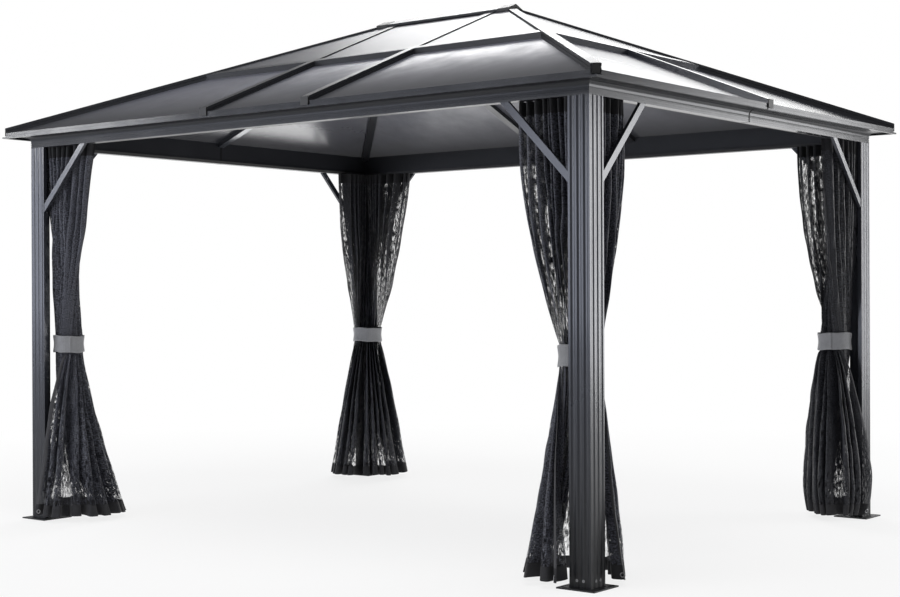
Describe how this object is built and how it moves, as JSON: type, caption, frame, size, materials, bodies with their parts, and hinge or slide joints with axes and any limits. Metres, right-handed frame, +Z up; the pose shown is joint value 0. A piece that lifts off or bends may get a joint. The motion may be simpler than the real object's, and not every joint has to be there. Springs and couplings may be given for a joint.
{
  "type": "gazebo",
  "caption": "Open-sided hard-top garden gazebo: dark metal posts and braces, smoked two-step hip roof, tied-back net in each corner.",
  "frame": {"origin": "on the floor under the middle of the roof", "axes": "+X along the long side, +Y from front to back, +Z up"},
  "size_m": [3.722, 2.912, 2.6518],
  "materials": {
    "frame": "satin powder coat",
    "panel": "smoked gloss",
    "cap": "matte",
    "track": "satin",
    "net": "open mesh",
    "tie": "woven"
  },
  "bodies": {
    "root": {"base_plates": "frame", "front_left_post": "frame", "front_right_post": "frame", "back_left_post": "frame", "back_right_post": "frame", "front_left_braces": "frame", "front_right_braces": "frame", "back_left_braces": "frame", "back_right_braces": "frame", "front_header": "frame", "back_header": "frame", "left_header": "frame", "right_header": "frame", "front_trim": "frame", "back_trim": "frame", "left_trim": "frame", "right_trim": "frame", "front_lower_panels": "panel", "front_upper_panels": "panel", "back_lower_panels": "panel", "back_upper_panels": "panel", "left_lower_panels": "panel", "left_upper_panel": "panel", "right_lower_panels": "panel", "right_upper_panel": "panel", "front_rafters": "frame", "back_rafters": "frame", "side_rafters": "frame", "front_purlins": "frame", "back_purlins": "frame", "side_purlins": "frame", "front_left_hip": "frame", "front_right_hip": "frame", "back_left_hip": "frame", "back_right_hip": "frame", "ridge_beam": "frame", "ridge_cap": "frame", "ridge_end_caps": "cap", "rail_end_caps": "cap", "curtain_tracks": "track", "front_left_net": "net", "front_right_net": "net", "back_left_net": "net", "back_right_net": "net", "net_ties": "tie"}
  },
  "joints": []
}
